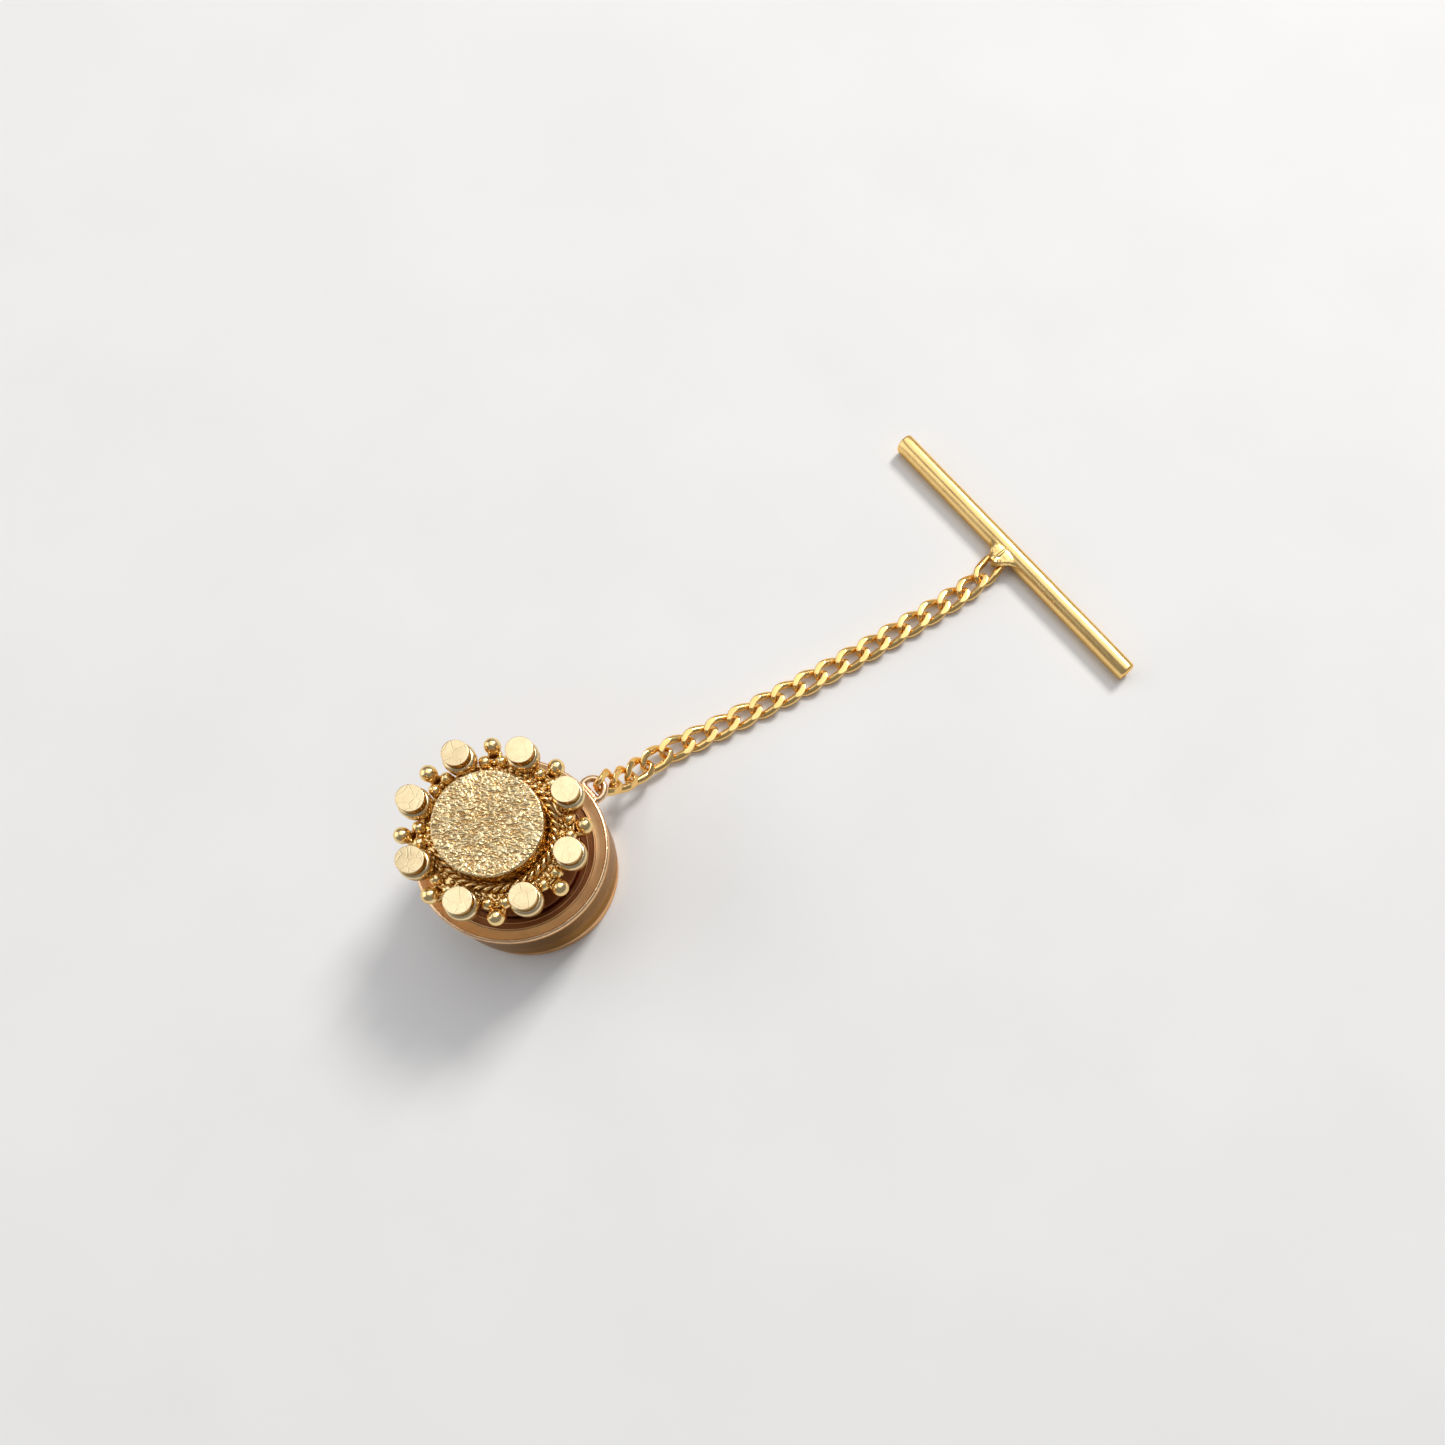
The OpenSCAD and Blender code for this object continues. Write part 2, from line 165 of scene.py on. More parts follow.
def ball(centre, r, rows=20, segments=32, squash=1.0):
    """A sphere of rings with a point at each pole."""
    points = [(centre[0], centre[1], centre[2] - r * squash)]
    for i in range(1, rows):
        a = math.pi * i / rows - math.pi / 2
        for s in range(segments):
            t = TURN * s / segments
            points.append((
                centre[0] + r * math.cos(a) * math.cos(t),
                centre[1] + r * math.cos(a) * math.sin(t),
                centre[2] + r * squash * math.sin(a),
            ))
    points.append((centre[0], centre[1], centre[2] + r * squash))
    last = len(points) - 1
    faces = []
    for s in range(segments):
        n = (s + 1) % segments
        faces.append((0, 1 + n, 1 + s))
        for i in range(rows - 2):
            low, high = 1 + i * segments, 1 + (i + 1) * segments
            faces.append((low + s, low + n, high + n, high + s))
        base = 1 + (rows - 2) * segments
        faces.append((base + s, base + n, last))
    return points, faces


def joined(*parts):
    """Several (points, faces) as one."""
    points = []
    faces = []
    for p, f in parts:
        start = len(points)
        points += list(p)
        faces += [tuple(start + i for i in face) for face in f]
    return points, faces


def moved(part, shift=(0, 0, 0), turn_z=0.0):
    """A part turned about Z and then shifted."""
    points, faces = part
    c, s = math.cos(turn_z), math.sin(turn_z)
    out = [
        (c * x - s * y + shift[0], s * x + c * y + shift[1], z + shift[2])
        for x, y, z in points
    ]
    return out, faces


def wobble(part, amount, scale, seed):
    """Shifts each point a little by smooth noise, as hand work does."""
    points, faces = part
    out = []
    for p in points:
        at = Vector(p) * scale + Vector((seed * 7.31, seed * 3.17, seed))
        out.append(tuple(Vector(p) + noise.noise_vector(at) * amount))
    return out, faces


def piece(name, part, body, material, nodes, crease=None, shade=None):
    """Makes one smooth-shaded piece that rides on a body and stands for CAD nodes."""
    points, faces = part
    mesh = bpy.data.meshes.new(name)
    mesh.from_pydata([Vector(p) * MM for p in points], [], faces)
    # painted shade: each point gets a shade value, 1 where nothing is painted, lower where shade is
    # painted
    layer = mesh.attributes.new("relief_and_painted_shade", "FLOAT", "POINT")
    layer.data.foreach_set("value", [1.0] * len(points) if shade is None else shade)
    mesh.update()
    obj = bpy.data.objects.new(name, mesh)
    bpy.context.scene.collection.objects.link(obj)
    mesh.materials.append(material)
    mesh.polygons.foreach_set("use_smooth", [True] * len(mesh.polygons))
    if crease is not None:
        mesh.set_sharp_from_angle(angle=math.radians(crease))
    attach(obj, body)
    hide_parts(*nodes)
    return obj


# ---- Materials ----

def shader(name):
    """An empty node material with its principled shader, ready for links."""
    material = bpy.data.materials.new(name)
    material.use_nodes = True
    nodes = material.node_tree.nodes
    return material, nodes, material.node_tree.links, nodes["Principled BSDF"]


def add(nodes, kind, **values):
    """A shader node with its settings or inputs filled in."""
    node = nodes.new("ShaderNode" + kind)
    for key, value in values.items():
        if hasattr(node, key):
            setattr(node, key, value)
        else:
            node.inputs[key.replace("_", " ")].default_value = value
    return node


def ramp(nodes, stops):
    """A colour ramp from (place, colour) stops."""
    node = nodes.new("ShaderNodeValToRGB")
    elements = node.color_ramp.elements
    while len(elements) < len(stops):
        elements.new(0.5)
    for element, (place, colour) in zip(elements, stops):
        element.position = place
        element.color = (*colour, 1.0)
    return node


def span(nodes, low, high):
    """Stretches a 0 to 1 value over low to high."""
    node = nodes.new("ShaderNodeMapRange")
    node.inputs["To Min"].default_value = low
    node.inputs["To Max"].default_value = high
    return node


def gold(name, colour, dark, rough, scratch, grain, stretch=(1, 1, 1)):
    """Plated gold with painted shade: darker where the per-point shade attribute is low; also a random
    worn tone, uneven gloss, scratches and pits.
    """
    material, nodes, links, base = shader(name)
    place = nodes.new("ShaderNodeTexCoord")
    stretched = nodes.new("ShaderNodeMapping")
    stretched.inputs["Scale"].default_value = stretch
    links.new(place.outputs["Object"], stretched.inputs["Vector"])

    tone = add(nodes, "TexNoise", Scale=900.0, Detail=6.0, Roughness=0.6)
    links.new(place.outputs["Object"], tone.inputs["Vector"])
    worn = tuple(0.8 * c + 0.2 * d for c, d in zip(colour, dark))
    colours = ramp(nodes, [(0.35, worn), (0.6, colour)])
    links.new(tone.outputs["Fac"], colours.inputs["Fac"])
    # painted shade: the per-point attribute mixes the dark colour in where it is low
    painted_shade = add(nodes, "Attribute", attribute_name="relief_and_painted_shade")
    mix = nodes.new("ShaderNodeMix")
    mix.data_type = "RGBA"
    mix.inputs["A"].default_value = (*dark, 1)
    links.new(painted_shade.outputs["Fac"], mix.inputs["Factor"])
    links.new(colours.outputs["Color"], mix.inputs["B"])
    links.new(mix.outputs["Result"], base.inputs["Base Color"])

    wear = add(nodes, "TexNoise", Scale=2600.0, Detail=8.0, Roughness=0.7)
    links.new(stretched.outputs["Vector"], wear.inputs["Vector"])
    roughness = span(nodes, rough * 0.6, rough * 1.5)
    links.new(wear.outputs["Fac"], roughness.inputs["Value"])
    links.new(roughness.outputs["Result"], base.inputs["Roughness"])

    lines = add(nodes, "TexVoronoi", Scale=1500.0, feature="DISTANCE_TO_EDGE")
    drift = add(nodes, "TexNoise", Scale=500.0, Detail=3.0)
    links.new(stretched.outputs["Vector"], drift.inputs["Vector"])
    pushed = nodes.new("ShaderNodeVectorMath")
    pushed.operation = "MULTIPLY_ADD"
    pushed.inputs[1].default_value = (0.0008, 0.0008, 0.0008)
    links.new(drift.outputs["Color"], pushed.inputs[0])
    links.new(stretched.outputs["Vector"], pushed.inputs[2])
    links.new(pushed.outputs["Vector"], lines.inputs["Vector"])
    hair = ramp(nodes, [(0.0, (0, 0, 0)), (0.035, (1, 1, 1))])
    links.new(lines.outputs["Distance"], hair.inputs["Fac"])
    scratches = add(nodes, "Bump", Strength=scratch, Distance=0.000012)
    links.new(hair.outputs["Color"], scratches.inputs["Height"])

    pits = add(nodes, "TexNoise", Scale=9000.0, Detail=4.0, Roughness=0.6)
    links.new(stretched.outputs["Vector"], pits.inputs["Vector"])
    bump = add(nodes, "Bump", Strength=grain, Distance=0.000008)
    links.new(pits.outputs["Fac"], bump.inputs["Height"])
    links.new(scratches.outputs["Normal"], bump.inputs["Normal"])
    links.new(bump.outputs["Normal"], base.inputs["Normal"])
    base.inputs["Metallic"].default_value = 1.0
    base.inputs["Specular Tint"].default_value = (*colour, 1)
    return material


def steel_material():
    """Plain drawn steel with fine turning marks."""
    return gold("steel", (0.62, 0.62, 0.63), (0.40, 0.40, 0.42), 0.28, 0.3, 0.5, (1, 1, 6))


def floor_material():
    """Plain pale floor with the faintest tooth."""
    material, nodes, links, base = shader("pale_floor")
    place = nodes.new("ShaderNodeTexCoord")
    tone = add(nodes, "TexNoise", Scale=90.0, Detail=3.0)
    links.new(place.outputs["Object"], tone.inputs["Vector"])
    colours = ramp(nodes, [(0.3, (0.86, 0.85, 0.84)), (0.7, (0.89, 0.88, 0.87))])
    links.new(tone.outputs["Fac"], colours.inputs["Fac"])
    links.new(colours.outputs["Color"], base.inputs["Base Color"])
    base.inputs["Roughness"].default_value = 0.75
    return material


STUD_GOLD = gold("stud_gold", (0.97, 0.78, 0.47), (0.42, 0.22, 0.06), 0.24, 0.22, 0.10)
BARK_GOLD = gold("bark_gold", (1.0, 0.80, 0.46), (0.62, 0.36, 0.13), 0.26, 0.15, 0.40)
LEAF_GOLD = gold("leaf_gold", (1.0, 0.76, 0.38), (0.52, 0.28, 0.08), 0.20, 0.15, 0.25)
CHAIN_GOLD = gold("chain_gold", (0.98, 0.66, 0.26), (0.55, 0.28, 0.06), 0.22, 0.15, 0.12)
BAR_GOLD = gold("bar_gold", (0.98, 0.68, 0.28), (0.60, 0.34, 0.09), 0.25, 0.04, 0.05, (1, 0.12, 1))
ROSE_GOLD = gold("rose_gold", (0.96, 0.66, 0.40), (0.16, 0.08, 0.04), 0.22, 0.35, 0.25)
BROWN_GOLD = gold("brown_rose", (0.36, 0.17, 0.08), (0.17, 0.06, 0.03), 0.34, 0.35, 0.50)
# lighter copy of rose gold for the slopes: its rougher brushed finish is real, its lighter colour is
# painted light
RIM_GOLD = gold("rim_gold", (1.0, 0.75, 0.46), (0.40, 0.20, 0.09), 0.42, 0.25, 0.30)
STEEL = steel_material()


# ---- Clutch ----

def clutch_shell():
    """Drawn cup with a rim that is rounded outside and slopes inwards, and a crimped back."""
    low, high = bottom("clutch_shell"), top("clutch_shell")
    rim = radius("clutch_shell")
    wall = radius_of_wall()
    bore = wall - 0.35
    lip = bore - 0.3
    back = arc((wall - 0.12, low + 0.12), 0.12, -90, 0, 6)
    flare = [(wall, low + 0.6), (wall, high - 0.47), (rim - 0.03, high - 0.38), (rim, high - 0.30)]
    edge = arc((rim - 0.13, high - 0.13), 0.13, 0, 90, 10)
    crest_r, drop = rim - 0.15, 0.135
    slope = [(r, high - 0.005 - drop * (crest_r - r) / 0.3) for r in np.linspace(rim - 0.17, bore, 6)]
    inside = [(bore, low + 0.25), (bore - 0.1, low + 0.15), (lip + 0.03, low + 0.15), (lip, low + 0.12)]
    profile = [(lip, low)] + back + flare + edge + slope + inside
    part = wobble(lathe(profile, 256), 0.004, 0.5, 3)
    # painted shade: the cup's side below the rim band is painted nearly to the dark colour, a painted dark
    # reflection
    rim_h = 0.33
    shade = [1.0 if p[2] > high - rim_h else 0.08 for p in part[0]]
    obj = piece("clutch_shell_look", part, "clutch", ROSE_GOLD, ["clutch_shell"], 50, shade)
    # the inner slope takes the lighter rim gold: painted light
    obj.data.materials.append(RIM_GOLD)
    for face in obj.data.polygons:
        centre = face.center / MM
        if centre.z > high - drop - 0.025 and math.hypot(centre.x, centre.y) < crest_r - 0.01:
            face.material_index = 1


def front_washer():
    """Ring inside the rim: a brushed slope in the lighter rim gold, which carries painted light, a thin
    step with painted shade in its groove, and a brown floor.
    """
    low, high = bottom("front_washer"), top("front_washer")
    bore = 3.55
    outer = radius("front_washer")
    floor_z = low + 0.3
    slope = [(outer, low), (outer, high)]
    slope += [(r, high - 0.11 * (outer - r) / 0.2) for r in np.linspace(outer - 0.03, outer - 0.2, 4)]
    step = [(outer - 0.215, high - 0.135), (outer - 0.235, high - 0.135), (outer - 0.25, high - 0.10),
            (outer - 0.285, high - 0.10), (outer - 0.30, high - 0.13)]
    wall = [(outer - 0.31, floor_z + 0.06), (outer - 0.34, floor_z + 0.012), (outer - 0.38, floor_z)]
    floor = [(r, floor_z) for r in np.linspace(outer - 0.42, bore + 0.09, 5)]
    edge = arc((bore + 0.05, floor_z - 0.05), 0.05, 90, 180, 5) + [(bore, low)]
    part = wobble(lathe(slope + step + wall + floor + edge, 256), 0.004, 1.2, 5)
    groove_r = outer - 0.225
    # painted shade: points in the step's groove are darkened to a quarter
    shade = [0.25 if abs(math.hypot(p[0], p[1]) - groove_r) < 0.02 else 1.0 for p in part[0]]
    obj = piece("front_washer_look", part, "clutch", BROWN_GOLD, ["front_washer"], 40, shade)
    # the slope and the bore's edge take the lighter rim gold: painted light
    obj.data.materials.append(RIM_GOLD)
    for face in obj.data.polygons:
        centre = face.center / MM
        r = math.hypot(centre.x, centre.y)
        if centre.z > floor_z - 0.03 and (r > outer - 0.31 or r < bore + 0.05):
            face.material_index = 1


RING_ANGLE = math.radians(10)


def chain_ring():
    """D loop of round wire soldered flat against the shell's side."""
    low, high = node_box("chain_ring")
    z = (low[2] + high[2]) / 2
    r = (high[2] - low[2]) / 2
    wire_r = 0.175
    loop_r = 0.58
    reach = 5.55
    wall = radius_of_wall()
    foot = wall + wire_r - 0.03
    centre = reach - loop_r
    bow = [(centre + loop_r * math.cos(a), loop_r * math.sin(a), z)
           for a in np.linspace(-math.pi / 2, math.pi / 2, 25)]
    legs_low = [(x, -loop_r, z) for x in np.linspace(foot + 0.16, centre - 0.04, 4)]
    legs_high = [(x, loop_r, z) for x in np.linspace(centre - 0.04, foot + 0.16, 4)]
    corner = 0.16
    high_corner = [(foot + corner - corner * math.sin(a), loop_r - corner + corner * math.cos(a), z)
                   for a in np.linspace(0.2, math.pi / 2, 6)]
    base = [(foot, y, z) for y in np.linspace(loop_r - corner - 0.05, corner - loop_r + 0.05, 8)]
    low_corner = [(x, -y, z) for x, y, z in reversed(high_corner)]
    loop = wire(legs_low + bow + legs_high + high_corner + base + low_corner, wire_r, 20, True)
    blobs = [ball((wall + 0.02, y, z - 0.02), 0.24, 14, 20, 0.9) for y in (-0.5, 0.5)]
    saddle = wire([(wall + 0.01, y, z) for y in np.linspace(-0.6, 0.6, 9)],
                  [0.05, 0.14, 0.19, 0.17, 0.15, 0.17, 0.19, 0.14, 0.05], 14)
    solder = wobble(joined(*blobs, saddle), 0.03, 3.0, 9)
    part = moved(joined(loop, solder), turn_z=RING_ANGLE)
    piece("chain_ring_look", part, "clutch", ROSE_GOLD, ["chain_ring"], 60)


def radius_of_wall():
    """Outer radius of the shell between its rims."""
    return radius("clutch_shell") - 0.1


def ball_seat():
    """Hub in the middle of the clutch, over the flange that holds it in the shell."""
    low, high = bottom("ball_seat"), top("ball_seat")
    flange = radius("ball_seat")
    hub = 3.25
    hole = 0.6
    cone_low, cone_high, cone_z = 1.36, 1.09, 3.58
    edge = arc((hub - 0.06, high - 0.06), 0.06, 0, 90, 6)
    face = [(r, high) for r in np.linspace(hub - 0.2, hole + 0.3, 9)]
    mouth = arc((hole + 0.12, high - 0.12), 0.12, 90, 180, 6)
    profile = [(cone_low, low), (flange, low), (flange, low + 0.65), (hub, low + 0.65)]
    profile += edge + face + mouth + [(hole, cone_z), (cone_high, cone_z)]
    part = lathe(profile, 128)
    piece("ball_seat_look", part, "core", BROWN_GOLD, ["ball_seat"], 35)


def clutch_spring():
    """Conical spring, closed flat at each end, drawn at one length; the real one shortens as the cap is
    pulled.
    """
    low, high = bottom("clutch_spring") + 0.1, top("clutch_spring") - 0.1
    wire_r = 0.1
    big, small = 2.9, 1.5
    turns = 4.0
    count = 260
    path = []
    for i in range(count):
        f = i / (count - 1)
        rise = min(1, max(0, (f - 0.14) / 0.72))
        a = TURN * turns * f
        r = big + (small - big) * f
        path.append((r * math.cos(a), r * math.sin(a), low + (high - low) * rise))
    part = wire(path, wire_r, 12)
    obj = piece("clutch_spring_look", part, "core", STEEL, ["clutch_spring"], 60)
    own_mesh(obj)


def pull_cap():
    """Cap under the clutch, with a rounded edge and a fine turned step on its face."""
    low, high = bottom("pull_cap"), top("pull_cap")
    outer = radius("pull_cap")
    pocket = 0.95
    floor = 0.45
    r = 0.2
    step_r, step_h = outer - 0.9, 0.03
    face = [(AXIS_R, low), (step_r, low), (step_r + 0.04, low + step_h)]
    face += [(step_r + 0.1, low + step_h), (step_r + 0.14, low)]
    edge = arc((outer - r, low + r), r, -90, 0, 8) + arc((outer - r, high - r), r, 0, 90, 8)
    inside = [(pocket + 0.1, high), (pocket, high - 0.05), (pocket, floor), (AXIS_R, floor)]
    part = wobble(lathe(face + edge + inside, 160), 0.008, 0.6, 11)
    piece("pull_cap_look", part, "puller", ROSE_GOLD, ["pull_cap"], 40)


def locking_balls():
    """Three balls that grip the post."""
    for i in (1, 2, 3):
        name = f"ball_{i}"
        low, high = node_box(name)
        part = ball((low + high) / 2, (high[2] - low[2]) / 2, 24, 40)
        piece(f"{name}_look", part, name, STEEL, [name])


# ---- Tack ----

def post_parts():
    """Turned post with its tapered point, and the small pad that joins it to the head."""
    low, high = bottom("post"), top("post")
    r = radius("post")
    point = 0.9
    groove_z = low + point + 0.35
    taper = arc((0.0, low + 0.06), 0.06, -89, -20, 5) + [(r - 0.12, low + point - 0.3)]
    taper += [(r - 0.03, low + point - 0.06), (r, low + point)]
    neck_r = r - 0.07
    groove = [(r, groove_z), (neck_r, groove_z + 0.06), (neck_r, groove_z + 0.15), (r, groove_z + 0.21)]
    shank = [(r, z) for z in np.linspace(groove_z + 0.4, high, 8)]
    piece("post_look", lathe([(AXIS_R, low)] + taper + groove + shank + [(AXIS_R, high)], 64),
          "tack", STUD_GOLD, ["post"], 30)
    low, high = bottom("post_pad"), top("post_pad")
    wide = radius("post_pad")
    fillet = arc((wide - 0.15, low), 0.15, 0, 60, 6)
    solder = [(AXIS_R, low - 0.16), (r + 0.02, low - 0.16), (r + 0.08, low - 0.08), (r + 0.2, low - 0.01)]
    profile = solder + fillet + [(wide, high - 0.02), (wide - 0.02, high), (AXIS_R, high)]
    piece("post_pad_look", wobble(lathe(profile, 72), 0.015, 2.0, 2),
          "tack", STUD_GOLD, ["post_pad"], 45)


def back_plate():
    """Flat back of the head with a rounded edge and faint turned rings."""
    low, high = bottom("back_plate"), top("back_plate")
    outer = radius("back_plate")
    rings = [(r, low + 0.008 * (i % 2)) for i, r in enumerate(np.linspace(0.4, outer - 0.3, 15))]
    edge = arc((outer - 0.1, low + 0.1), 0.1, -90, 0, 6)
    profile = [(AXIS_R, low)] + rings + edge + [(outer, high), (AXIS_R, high)]
    piece("back_plate_look", wobble(lathe(profile, 128), 0.01, 0.8, 4),
          "tack", LEAF_GOLD, ["back_plate"], 45)


PETAL_PHASE = math.radians(-5)
PETAL_R = 3.73
TRIO_R = 4.09
GRAIN_R, GRAIN_SIDE = 3.38, 0.38
FOOT_R, LOBE_R, STUD_R = 0.76, 0.53, 0.65


def petal_angle(i):
    return PETAL_PHASE + TURN * i / PETALS


def trio_angle(i):
    return PETAL_PHASE + TURN * (i + 0.5) / PETALS


def reach_of_circle(angle, centre_angle, distance, r):
    """How far a circle set off from the axis reaches along a ray at this angle."""
    d = angle - centre_angle
    off = distance * math.sin(d)
    if abs(off) >= r or math.cos(d) <= 0:
        return 0.0
    return distance * math.cos(d) + math.sqrt(r * r - off * off)


def rosette():
    """Openwork plate with rounded edges, small deep slots, and a ring of fine granules."""
    low, high = bottom("rosette"), top("rosette")
    segments = 720
    slot_ring, slot_long, slot_wide = 3.69, 0.17, 0.09
    web = PETAL_R - 0.35
    inner = 2.2
    outline = []
    for s in range(segments):
        a = TURN * s / segments
        reach = [web]
        reach += [reach_of_circle(a, petal_angle(i), PETAL_R, LOBE_R) for i in range(PETALS)]
        reach += [reach_of_circle(a, trio_angle(i), TRIO_R - 0.26, 0.34) for i in range(PETALS)]
        outline.append(max(reach))
    outline = np.array(outline)
    smooth = sum(np.roll(outline, shift) for shift in range(-3, 4)) / 7
    outline = np.minimum(outline, smooth + 0.02)
    edge = 0.12
    rounding = [(0.0, edge), (0.015, 0.065), (0.045, 0.025), (0.085, 0.006), (edge, 0.0)]
    levels = [(0.05, low), (0.0, low + 0.05)] + [(inset, high - drop) for inset, drop in rounding]
    angles = [TURN * s / segments for s in range(segments)]
    points = []
    # painted shade: the plate's side is painted darker than its rounded top edge, the slots are painted
    # dark inside, and the inner underside sits at half
    shade = []
    for inset, z in levels:
        for reach, a in zip(outline, angles):
            points.append(((reach - inset) * math.cos(a), (reach - inset) * math.sin(a), z))
            shade.append(0.35 if z < high - 0.1 else 0.7)
    rings = 56
    for ring in range(1, rings + 1):
        f = 1 - ring / rings
        for reach, a in zip(outline, angles):
            r = inner + (reach - edge - inner) * f
            x, y = r * math.cos(a), r * math.sin(a)
            i = round((a - PETAL_PHASE) / TURN * PETALS - 0.5)
            t = trio_angle(i)
            out = (x * math.cos(t) + y * math.sin(t) - slot_ring) / slot_wide
            side = (y * math.cos(t) - x * math.sin(t)) / slot_long
            gap = (out ** 4 + side ** 4) ** 0.25
            well = 1 / (1 + math.exp(min(60.0, (gap - 1) * 12)))
            points.append((x, y, high - 0.4 * well))
            shade.append(0.8 * (1 - well))
    rows = len(levels) + rings
    for a in angles:
        points.append((inner * math.cos(a), inner * math.sin(a), low))
        shade.append(0.5)
    faces = []
    for row in range(rows + 1):
        near, far = row * segments, (row + 1) % (rows + 1) * segments
        for s in range(segments):
            n = (s + 1) % segments
            faces.append((near + s, near + n, far + n, far + s))
    plate = wobble((points, faces), 0.012, 1.5, 6)
    rng = random.Random(77)
    count = 54
    grains = []
    for n in range(count):
        a = TURN * (n + rng.uniform(-0.2, 0.2)) / count
        r, size = 3.04 + rng.uniform(-0.04, 0.04), rng.uniform(0.11, 0.15)
        grains.append(ball((r * math.cos(a), r * math.sin(a), high + size * 0.55), size, 10, 16))
    for i in range(PETALS):
        for offset in (-0.5, -0.33, 0.31, 0.52):
            a = trio_angle(i) + (offset + rng.uniform(-0.03, 0.03)) * 0.5
            r, size = 3.50 + rng.uniform(-0.12, 0.1), rng.uniform(0.1, 0.14)
            grains.append(ball((r * math.cos(a), r * math.sin(a), high + size * 0.4), size, 10, 16))
    beads = joined(*grains)
    # painted shade: the granules darken towards their feet
    shade += [min(1.0, max(0.1, (p[2] - high) / 0.14)) for p in beads[0]]
    part = joined(plate, beads)
    piece("rosette_look", part, "tack", LEAF_GOLD, ["rosette"], 50, shade)


def rope_ring():
    """Two twisted strands round the foot of the centre."""
    low, high = bottom("rope_ring"), top("rope_ring")
    z = (low + high) / 2
    ring_r = radius("rope_ring") - (high - low) / 2
    twists = 21
    strand, off = 0.105, 0.10
    count = twists * 16
    parts = []
    for half in (0, math.pi):
        path = []
        for i in range(count):
            a = TURN * i / count
            t = twists * a + half
            r = ring_r + off * math.cos(t)
            path.append((r * math.cos(a), r * math.sin(a), z + off * math.sin(t)))
        parts.append(wire(path, strand, 12, True))
    part = wobble(joined(*parts), 0.012, 2.5, 8)
    # painted shade: the strands are darkened where they turn in towards the ring's core and each other
    depth = [math.hypot(math.hypot(p[0], p[1]) - ring_r, p[2] - z) for p in part[0]]
    shade = [min(1.0, max(0.0, (d - 0.09) / 0.09)) for d in depth]
    piece("rope_ring_look", part, "tack", LEAF_GOLD, ["rope_ring"], None, shade)


def drum():
    """Raised wall of the centre, hammered, with a small foot; its wall carries painted shade."""
    low, high = bottom("drum"), top("drum")
    outer = radius("drum")
    foot = arc((outer - 0.02, low + 0.05), 0.05, -90, 90, 8)
    wall = [(outer - 0.03, z) for z in np.linspace(low + 0.16, high - 0.02, 22)]
    profile = [(AXIS_R, low)] + foot + wall + [(outer - 0.05, high), (AXIS_R, high)]
    part = wobble(wobble(lathe(profile, 360), 0.05, 2.2, 12), 0.05, 5.0, 13)
    # painted shade: points inside the foot's reach are painted dark, so the top and most of the wall go
    # dark in uneven patches where the hammering wobbles them; the foot stays bright
    edge = outer - 0.04
    shade = [min(1.0, max(0.0, (math.hypot(p[0], p[1]) - edge) / 0.05)) for p in part[0]]
    piece("drum_look", part, "tack", LEAF_GOLD, ["drum"], None, shade)


def bark_strokes():
    """Short engraved strokes: level ones over the middle, spreading ones towards the edge."""
    rng = random.Random(41)
    reach = radius("centre_disc")
    level = math.radians(-32)
    strokes = []
    for _ in range(1400):
        r = reach * math.sqrt(rng.random())
        at = rng.uniform(0, TURN)
        radial = rng.random() < (r / reach) ** 2 * 0.6
        turn = (at if radial else level) + rng.gauss(0, 0.42)
        strokes.append((
            r * math.cos(at), r * math.sin(at), turn,
            rng.uniform(0.10, 0.30), rng.uniform(0.026, 0.042),
            rng.choice((-1, -1, 1)) * rng.uniform(0.025, 0.050),
        ))
    return strokes


